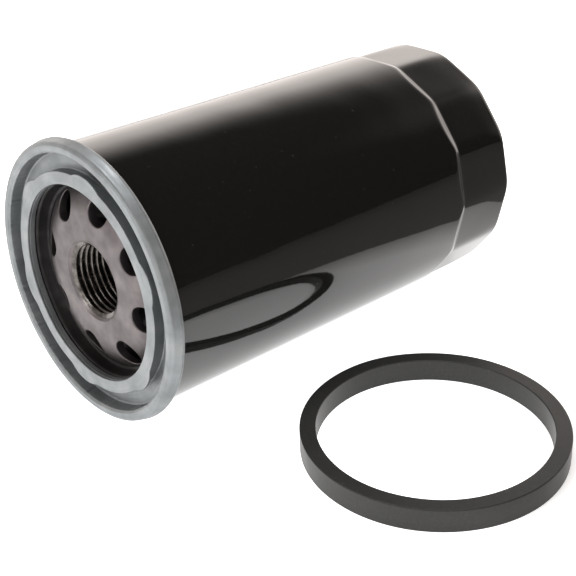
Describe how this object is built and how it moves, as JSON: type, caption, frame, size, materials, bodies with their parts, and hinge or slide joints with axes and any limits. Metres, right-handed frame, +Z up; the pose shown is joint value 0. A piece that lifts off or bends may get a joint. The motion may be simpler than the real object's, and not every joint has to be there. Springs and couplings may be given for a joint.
{
  "type": "spin-on oil filter",
  "caption": "Spin-on oil filter lying on its side, with wrench flats, rolled seam lid, threaded base plate with inlet holes and a separate square-cut sealing ring.",
  "frame": {"origin": "middle of the floor under the filter and its sealing ring", "axes": "+Y along the filter's axis from the thread end to the closed end (dipping 1.2 degrees), +X towards the sealing ring that lies beside the filter, +Z up"},
  "size_m": [0.183, 0.1628, 0.0949],
  "materials": {
    "can_enamel": "gloss black enamel on drawn steel",
    "zinc_plate": "satin zinc plate",
    "plate_steel": "dark pressed steel, oiled",
    "gasket_rubber": "matt charcoal nitrile rubber",
    "valve_rubber": "satin black nitrile rubber",
    "seam_sealant": "cured sealing compound",
    "tinplate": "bright tinplate",
    "spring_steel": "drawn spring wire",
    "filter_paper": "resin-cured filter paper",
    "plastisol": "cast plastisol adhesive"
  },
  "bodies": {
    "housing": {"can": "can_enamel", "seaming_lid": "zinc_plate", "seam_compound": "seam_sealant", "base_plate": "plate_steel", "hold_down_spring": "spring_steel"},
    "drain_flap": {"anti_drain_valve": "valve_rubber"},
    "element": {"top_end_cap": "tinplate", "top_potting": "plastisol", "pleated_media": "filter_paper", "media_seam_clip": "tinplate", "center_tube": "tinplate", "bottom_potting": "plastisol", "bottom_end_cap": "tinplate", "bypass_seat": "tinplate", "bypass_cage": "tinplate", "bypass_spring": "spring_steel", "spring_cup": "tinplate"},
    "bypass_valve": {"bypass_poppet": "tinplate", "bypass_facing": "valve_rubber", "bypass_rivet": "spring_steel"},
    "sealing_ring": {"gasket": "gasket_rubber"}
  },
  "joints": [
    {"name": "element_float", "type": "slide", "parent": "housing", "child": "element", "axis": [0, 0.9998, -0.0213], "range_m": [0, 0.002], "stiffness_N_per_m": 5000, "deforming": ["hold_down_spring"]},
    {"name": "bypass_lift", "type": "slide", "parent": "element", "child": "bypass_valve", "axis": [0, -0.9998, 0.0213], "range_m": [0, 0.005], "stiffness_N_per_m": 1500, "deforming": ["bypass_spring"]},
    {"name": "drain_flap_open", "type": "slide", "parent": "housing", "child": "drain_flap", "axis": [0, 0.9998, -0.0213], "range_m": [0, 0.0015], "stiffness_N_per_m": 400, "deforming": ["anti_drain_valve"]},
    {"name": "gasket_lift", "type": "slide", "parent": "housing", "child": "sealing_ring", "axis": [0, 0, 1], "range_m": [0, 0.12]}
  ]
}
